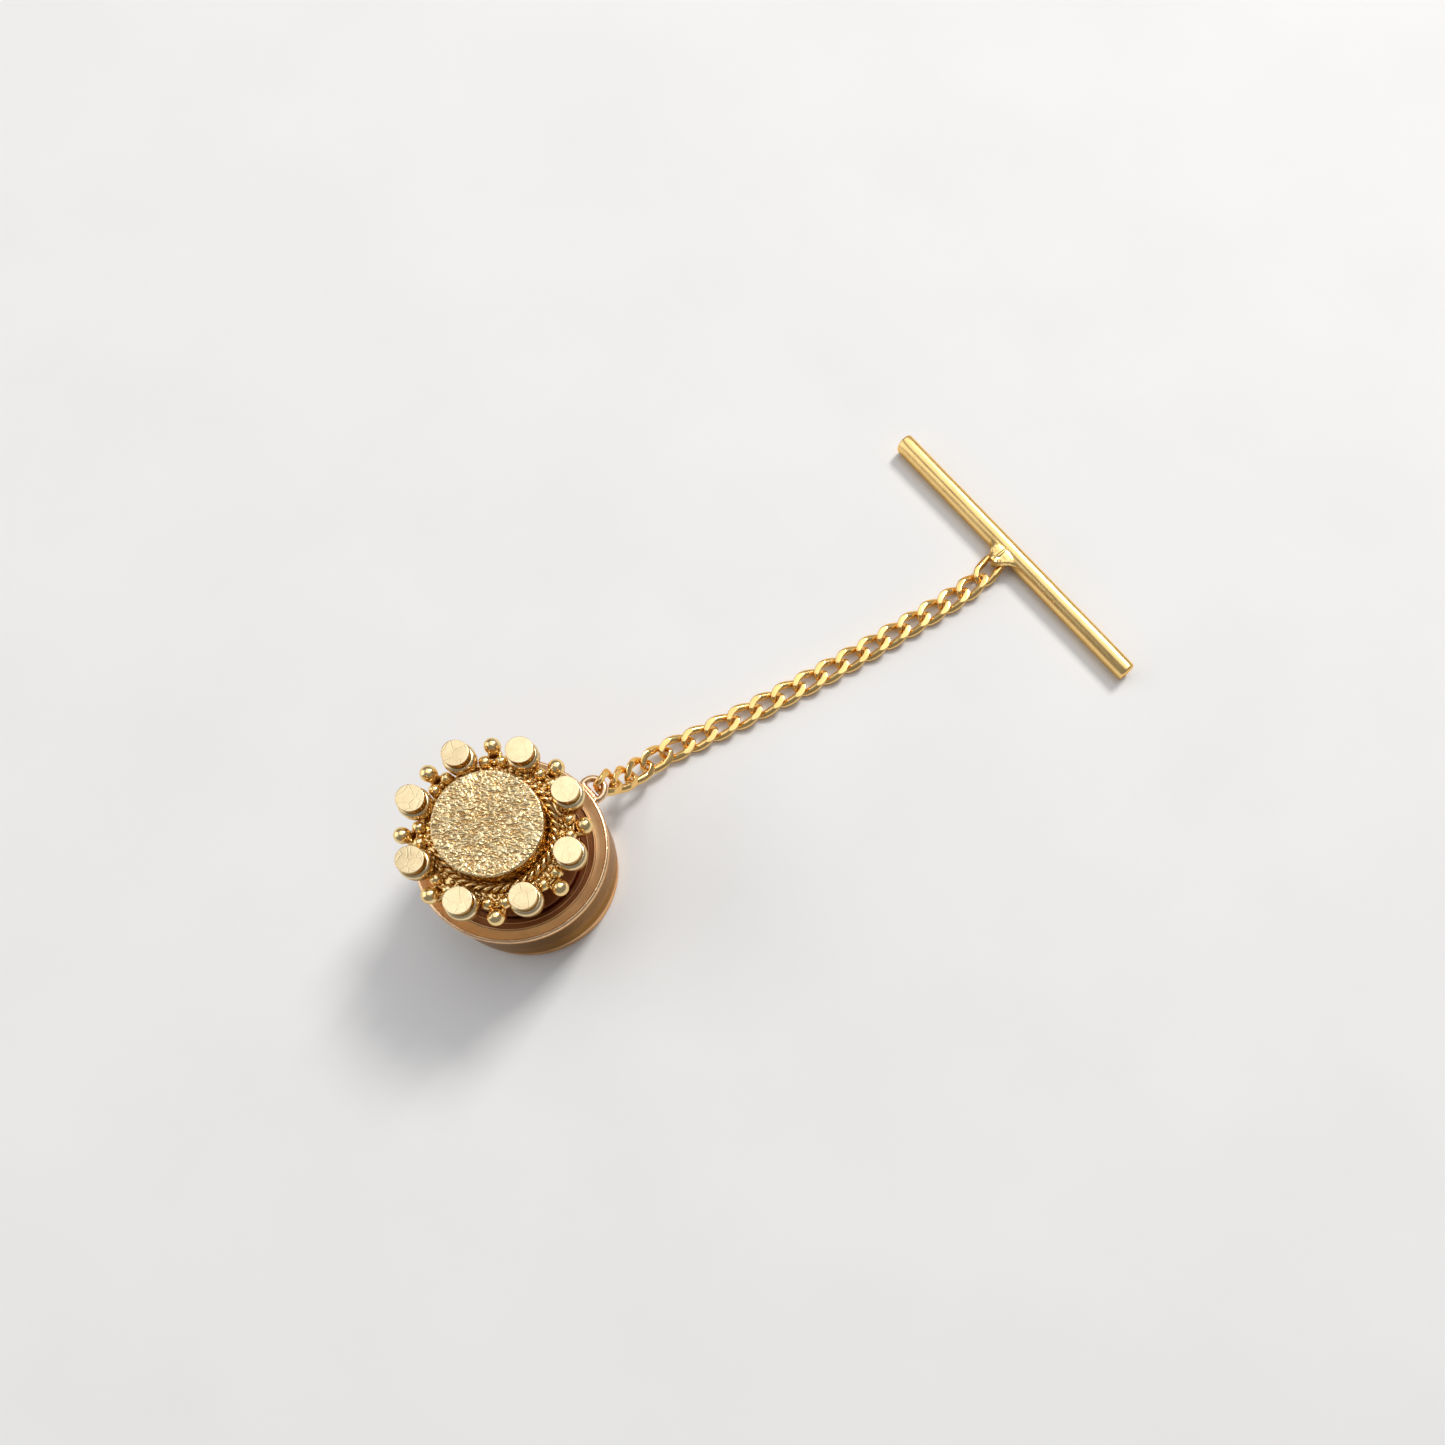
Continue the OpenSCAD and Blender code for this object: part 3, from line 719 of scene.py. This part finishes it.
def centre_disc():
    """Domed disc with real bark-like tooling over its face and a soft shoulder."""
    low, high = bottom("centre_disc"), top("centre_disc")
    outer = radius("centre_disc")
    shoulder = 0.10
    face_z = high - 0.035
    rings, segments = 150, 620
    face_r = outer - shoulder
    radii = [face_r * i / rings for i in range(1, rings + 1)]
    angles = np.arange(segments) * TURN / segments
    x = np.outer(radii, np.cos(angles)).ravel()
    y = np.outer(radii, np.sin(angles)).ravel()
    cuts, ridges = np.zeros_like(x), np.zeros_like(x)
    for cx, cy, turn, length, width, depth in bark_strokes():
        near = (np.abs(x - cx) < length * 1.6) & (np.abs(y - cy) < length * 1.6)
        dx, dy = x[near] - cx, y[near] - cy
        along = dx * math.cos(turn) + dy * math.sin(turn)
        across = dy * math.cos(turn) - dx * math.sin(turn) + 0.25 * along ** 2
        stroke = abs(depth) * np.exp(-(along / length) ** 4 - (across / width) ** 2)
        layer = cuts if depth < 0 else ridges
        layer[near] = np.maximum(layer[near], stroke)
    relief_and_painted_shade = np.minimum(ridges, 0.03) - cuts
    points = [(0.0, 0.0, face_z)]
    points += [(px, py, face_z + h) for px, py, h in zip(x, y, relief_and_painted_shade)]
    # painted shade: the cut strokes are painted darker by their depth, the shoulder darkens as it turns
    # down, and the centre point and underside sit at part shade
    shades = [0.7] + list(np.clip(1 + relief_and_painted_shade / 0.04, 0, 1))
    rim_relief = relief_and_painted_shade[-segments:]
    quarter = math.pi / 2
    steps = [(f, math.sin(f * quarter), 1 - math.cos(f * quarter)) for f in (0.25, 0.5, 0.75, 1.0)]
    outline = [(face_r + shoulder * s, face_z - shoulder * d, 1 - f) for f, s, d in steps]
    outline += [(outer, low + 0.06, 0.0), (outer - 0.05, low, 0.0)]
    for r, z, keep in outline:
        for s, a in enumerate(angles):
            points.append((r * math.cos(a), r * math.sin(a), z + rim_relief[s] * keep))
            shades.append(0.5 + 0.4 * keep)
    points.append((0.0, 0.0, low))
    shades.append(0.5)
    rows = rings + len(outline)
    faces = [(0, 1 + s, 1 + (s + 1) % segments) for s in range(segments)]
    for row in range(rows - 1):
        near, far = 1 + row * segments, 1 + (row + 1) * segments
        for s in range(segments):
            n = (s + 1) % segments
            faces.append((near + s, far + s, far + n, near + n))
    last, end = 1 + (rows - 1) * segments, len(points) - 1
    faces += [(last + s, end, last + (s + 1) % segments) for s in range(segments)]
    part = wobble((points, faces), 0.02, 0.9, 21)
    piece("centre_disc_look", part, "tack", BARK_GOLD, ["centre_disc"], None, shades)


def petal_stud(i):
    """Flat polished stud with a crisp edge, set a little unevenly on its rounded foot."""
    name = f"petal_stud_{i + 1}"
    low, high = bottom(name), top(name)
    rng = random.Random(100 + i)
    foot_r, stud_r = FOOT_R, STUD_R * rng.uniform(0.98, 1.0)
    foot_h = 0.85
    foot = [(AXIS_R, low), (LOBE_R, low), (LOBE_R + 0.12, low + 0.13), (foot_r - 0.02, low + 0.32)]
    foot += arc((foot_r - 0.22, low + foot_h - 0.22), 0.22, -20, 90, 12)
    neck = [(stud_r - 0.05, low + foot_h + 0.005), (stud_r - 0.02, low + foot_h + 0.05)]
    edge = arc((stud_r - 0.03, high - 0.03), 0.03, 0, 90, 6)
    face = [(r, high) for r in np.linspace(stud_r - 0.06, AXIS_R, 10)]
    points, faces = lathe(foot + neck + edge + face, 96)
    tilt = (rng.uniform(-0.018, 0.018), rng.uniform(-0.018, 0.018))
    slip = (rng.uniform(-0.03, 0.03), rng.uniform(-0.03, 0.03))
    out = []
    # painted shade: the stud's top face is bright, its edge and neck are painted dark, and the foot is
    # painted dark below its upper half
    shade = []
    for x, y, z in points:
        if z > low + foot_h + 0.004:
            shade.append(1.0 if z > high - 0.025 else 0.15)
            z += x * tilt[0] + y * tilt[1] - 0.012
            x, y = x + slip[0], y + slip[1]
        else:
            shade.append(0.95 if z > low + 0.45 else 0.2)
        out.append((x, y, z))
    a = petal_angle(i)
    part = moved((out, faces), (PETAL_R * math.cos(a), PETAL_R * math.sin(a), 0))
    part = wobble(part, 0.008, 0.8, 30 + i)
    piece(f"{name}_look", part, "tack", STUD_GOLD, [name], 40, shade)


def bead_trio(i):
    """Outer ball, two grains with a short tie between them, and a small wire frame round the slot."""
    name = f"bead_trio_{i + 1}"
    low = bottom(name)
    rng = random.Random(200 + i)
    outer = ball((TRIO_R, 0, low + 0.4), 0.4 * rng.uniform(0.97, 1.0), 24, 40, 0.98)
    grains = []
    for side in (-1, 1):
        place = (GRAIN_R + rng.uniform(-0.02, 0.03), side * GRAIN_SIDE, low + 0.3)
        grains.append(ball(place, 0.3 * rng.uniform(0.92, 1.0), 18, 28, 0.95))
    frame_path = []
    for j in range(36):
        t = TURN * j / 36
        c, s = math.cos(t), math.sin(t)
        frame_path.append((3.67 + math.copysign(abs(c) ** 0.5, c) * 0.15,
                           math.copysign(abs(s) ** 0.5, s) * 0.25, low + 0.12))
    loop = wire(frame_path, 0.075, 10, True)
    tie_path = [(GRAIN_R - 0.10, 0, low + 0.10), (GRAIN_R, 0, low + 0.16), (GRAIN_R + 0.12, 0, low + 0.13)]
    tie = wire(tie_path, [0.10, 0.13, 0.08], 12)
    part = wobble(joined(outer, *grains, loop, tie), 0.012, 2.0, 60 + i)
    # painted shade: the balls, grains and wire darken towards the bottom, painted shade and a painted dark
    # reflection
    shade = [min(1.0, max(0.15, (p[2] - low - 0.05) / 0.2)) for p in part[0]]
    part = moved(part, turn_z=trio_angle(i))
    piece(f"{name}_look", part, "tack", LEAF_GOLD, [name], None, shade)


# ---- Chain ----

LINK_A, LINK_B, LINK_WIRE = 0.915, 0.475, 0.33
TWIST = 47


def link_twists(k):
    near = 50 if k == 1 else 30 if k == LINKS else TWIST
    far = 0 if k == LINKS else TWIST
    return near, far


def link_roll(k):
    """Degrees that a link is rolled about its own length."""
    hanging = (40, 42, 32, 22, 11)
    if k <= len(hanging):
        return hanging[k - 1]
    return -8 if k == LINKS - 1 else 0


def link_oval(u):
    """A point a fraction u of the way round an oval with straight sides."""
    side = 2 * (LINK_A - LINK_B)
    bow = math.pi * LINK_B
    s = u * 2 * (side + bow)
    h = side / 2
    if s < side:
        return np.array((s - h, -LINK_B))
    if s < side + bow:
        t = (s - side) / LINK_B
        return np.array((h + LINK_B * math.sin(t), -LINK_B * math.cos(t)))
    if s < 2 * side + bow:
        return np.array((h - (s - side - bow), LINK_B))
    t = (s - 2 * side - bow) / LINK_B
    return np.array((-h - LINK_B * math.sin(t), LINK_B * math.cos(t)))


def link_part(near, far):
    """Twisted curb link, its wire wider along the sides and cut flat on top and bottom."""
    rings, sides = 96, 24
    cut = 0.26
    sections = []
    for i in range(rings):
        x, y = link_oval(i / rings)
        x2, y2 = link_oval((i + 0.02) / rings % 1)

        def lifted(px, py):
            w = -math.radians((near if px < 0 else far) * px / LINK_A)
            return np.array((px, py * math.cos(w), py * math.sin(w))), w

        centre, w = lifted(x, y)
        ahead, _ = lifted(x2, y2)
        along = (ahead - centre) / np.linalg.norm(ahead - centre)
        up = np.array((0, -math.sin(w), math.cos(w)))
        out = np.cross(along, up)
        out /= np.linalg.norm(out)
        over = np.cross(out, along)
        middle = max(0.0, 1 - (abs(x) / 0.62) ** 2)
        wide = LINK_WIRE / 2 * (1 + 0.32 * middle)
        thick = LINK_WIRE / 2 * (1 + 0.08 * middle)
        ring = []
        for j in range(sides):
            t = TURN * (j + 0.5) / sides
            p = centre + wide * math.cos(t) * out + thick * math.sin(t) * over
            if abs(p[2]) > cut:
                p[2] = math.copysign(cut + (abs(p[2]) - cut) * 0.12, p[2])
            ring.append(p)
        sections.append(ring)
    return sweep(sections, True)


def chain_link(k):
    """Link k between its two joint points, in the turn that the CAD link has."""
    name = f"link_{k:02d}"
    start = joint_point(name)
    end = joint_point(f"link_{k + 1:02d}" if k < LINKS else "bar")
    heading = end - start
    yaw = math.atan2(heading[1], heading[0])
    slope = math.asin(-heading[2] / np.linalg.norm(heading))
    turn = Euler((math.radians(link_roll(k)), slope, yaw), "XYZ").to_matrix()
    centre = Vector((start + end) / 2)
    points, faces = link_part(*link_twists(k))
    placed = [tuple(turn @ Vector(p) + centre) for p in points]
    piece(f"{name}_look", (placed, faces), name, CHAIN_GOLD, [name])


# ---- Bar ----

BAR_ANGLE = math.radians(100)
BAR_R = 0.55
BAR_L = 18.9
BAR_OFFSET = 0.45
EYE_REACH = 0.995


def bar_place():
    """From the eye's own frame (X away from the chain, Y along the bar) to the model's."""
    last = joint_point("bar")
    turn = BAR_ANGLE - math.pi / 2
    centre = (last[0] + EYE_REACH * math.cos(turn), last[1] + EYE_REACH * math.sin(turn), BAR_R)
    return centre, turn


def t_bar():
    """Round bar with crowned ends, very slightly uneven along its length."""
    centre, turn = bar_place()
    low, high = -BAR_OFFSET - BAR_L / 2, BAR_L / 2 - BAR_OFFSET
    r = 0.14
    first = arc((BAR_R - r, low + r), r, -90, 0, 7)
    second = arc((BAR_R - r, high - r), r, 0, 90, 7)
    wall = [(BAR_R, z) for z in np.linspace(low + 0.6, high - 0.6, 60)]
    profile = [(AXIS_R, low)] + first + wall + second + [(AXIS_R, high)]
    points, faces = lathe(profile, 72)
    laid = [(x, z, y) for x, y, z in points]
    flipped = [tuple(reversed(f)) for f in faces]
    part = wobble((laid, flipped), 0.008, 0.4, 17)
    part = moved(part, centre, turn)
    part = ([(x, y, max(z, 0.0)) for x, y, z in part[0]], part[1])
    piece("t_bar_look", part, "bar", BAR_GOLD, ["t_bar"], 50)


def bar_eye():
    """Wire eye beside the bar, run into it by a wide uneven fillet of solder."""
    centre, turn = bar_place()
    eye_x, eye_r, wire_r = 1.23, 0.41, 0.135
    bend_x = eye_r - eye_x
    bend = [(bend_x - eye_r * math.sin(a), 0, eye_r * math.cos(a)) for a in np.linspace(0, math.pi, 24)]
    legs = [(x, 0, eye_r) for x in (-0.35, -0.45, -0.6)]
    path = legs + bend[1:] + [(x, 0, -eye_r) for x in (-0.6, -0.45, -0.35)]
    eye = wire(path, wire_r, 16, up=(0, 1, 0))
    fillet = []
    rows, sides = 22, 32
    start, end = 0.36, 1.36
    for i in range(rows + 1):
        f = i / rows
        x = -start - (end - start) * f
        half = 0.33 + 0.92 * (1 - f) ** 1.5
        peak = 0.50 - 0.04 * f
        base = min(0.2, -0.2 + 1.4 * f)
        ring = []
        for j in range(sides):
            c, s = math.cos(TURN * j / sides), math.sin(TURN * j / sides)
            ring.append((x, half * c, base + (peak - base) * s ** 0.45 if s > 0 else base + 0.03 * s))
        fillet.append(ring)
    web = wobble(wobble(sweep(fillet), 0.05, 2.5, 19), 0.03, 7.0, 20)
    part = moved(joined(eye, web), centre, turn)
    piece("bar_eye_look", part, "bar", BAR_GOLD, ["bar_eye"], 60)


# ---- Stage ----

def camera():
    """Looks from the photograph's side, nearly straight down."""
    data = bpy.data.cameras.new("camera")
    data.lens = 24.48
    data.sensor_width = 36
    data.shift_x, data.shift_y = -0.085, 0.168
    data.clip_start, data.clip_end = 0.001, 10
    obj = bpy.data.objects.new("camera", data)
    obj.location = Vector((3.83, -18.78, 51.65)) * MM
    obj.rotation_euler = [math.radians(a) for a in (9.93, -3.79, -32.09)]
    bpy.context.scene.collection.objects.link(obj)
    bpy.context.scene.camera = obj


def softbox(name, place, size, strength, colour=(1, 1, 1)):
    """A square lamp aimed at the middle of the model; strength is its brightness."""
    data = bpy.data.lights.new(name, "AREA")
    data.shape = "SQUARE"
    data.size = size
    data.energy = strength * math.pi * size ** 2
    data.color = colour
    obj = bpy.data.objects.new(name, data)
    target = Vector((12, 2, 3)) * MM
    obj.location = Vector(place)
    obj.rotation_euler = (target - obj.location).to_track_quat("-Z", "Y").to_euler()
    bpy.context.scene.collection.objects.link(obj)


def stage():
    """A plain pale floor under three soft lamps and a grey room."""
    reach = 3.0
    corners = [(-reach, -reach, 0), (reach, -reach, 0), (reach, reach, 0), (-reach, reach, 0)]
    mesh = bpy.data.meshes.new("floor")
    mesh.from_pydata(corners, [], [(0, 1, 2, 3)])
    floor = bpy.data.objects.new("floor", mesh)
    mesh.materials.append(floor_material())
    bpy.context.scene.collection.objects.link(floor)
    softbox("overhead", (0.13, 0.13, 0.46), 0.50, 1.12)
    softbox("key", (0.40, 0.16, 0.40), 0.14, 30.0, (1.0, 0.98, 0.95))
    softbox("fill", (-0.36, 0.29, 0.24), 0.46, 1.2, (0.97, 0.98, 1.0))
    world = bpy.data.worlds.new("studio")
    world.use_nodes = True
    room = world.node_tree.nodes["Background"].inputs
    room["Color"].default_value = (0.50, 0.51, 0.53, 1)
    room["Strength"].default_value = 0.45
    bpy.context.scene.world = world
    bpy.context.scene.view_settings.view_transform = "Standard"


camera()
stage()
clutch_shell()
front_washer()
chain_ring()
ball_seat()
clutch_spring()
pull_cap()
locking_balls()
for node in ("core_sleeve", "spring_retainer", "ball_cage"):
    frame["nodes"][node].data.materials.clear()
    frame["nodes"][node].data.materials.append(BROWN_GOLD if node == "core_sleeve" else STEEL)
post_parts()
back_plate()
rosette()
rope_ring()
drum()
centre_disc()
for i in range(PETALS):
    petal_stud(i)
    bead_trio(i)
for k in range(1, LINKS + 1):
    chain_link(k)
t_bar()
bar_eye()

bpy.context.view_layer.update()
